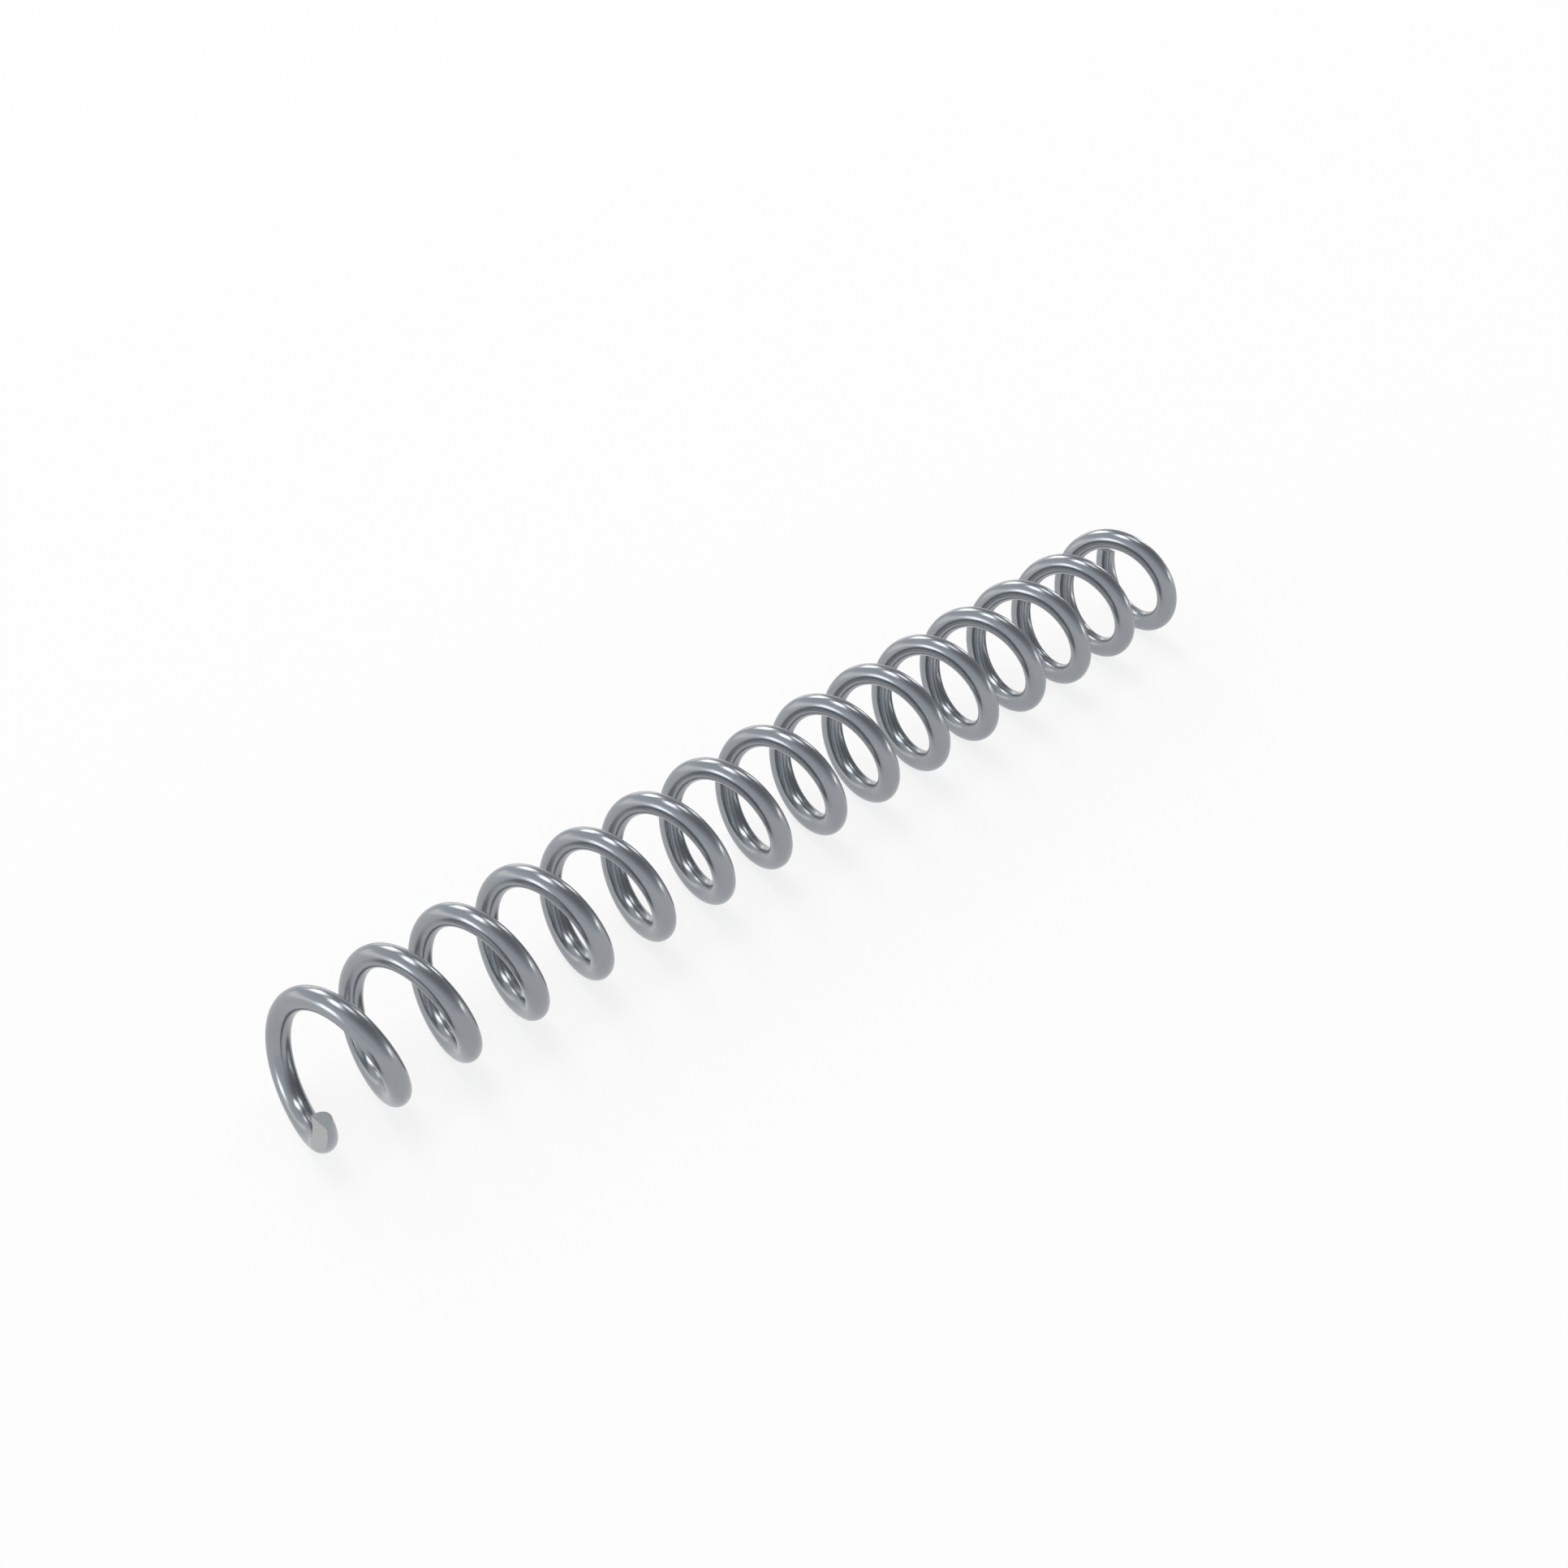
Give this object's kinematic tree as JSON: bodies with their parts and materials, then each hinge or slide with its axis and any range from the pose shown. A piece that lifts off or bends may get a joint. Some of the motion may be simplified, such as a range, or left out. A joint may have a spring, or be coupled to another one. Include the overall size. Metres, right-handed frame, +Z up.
{
  "type": "compression spring",
  "caption": "Small helical compression spring in round steel wire, right-hand wound at an even pitch, with open ends ground flat; it pushes back along its axis.",
  "frame": {"origin": "on the surface that the spring lies on, below the middle of its length", "axes": "+X along the spring's axis, from one ground end to the other; +Z up; +Y across"},
  "size_m": [0.087, 0.01, 0.01],
  "materials": {
    "spring_wire": "bright drawn spring wire, satin to semi-gloss, bluish grey"
  },
  "bodies": {
    "root": {"spring": "spring_wire"}
  },
  "joints": []
}
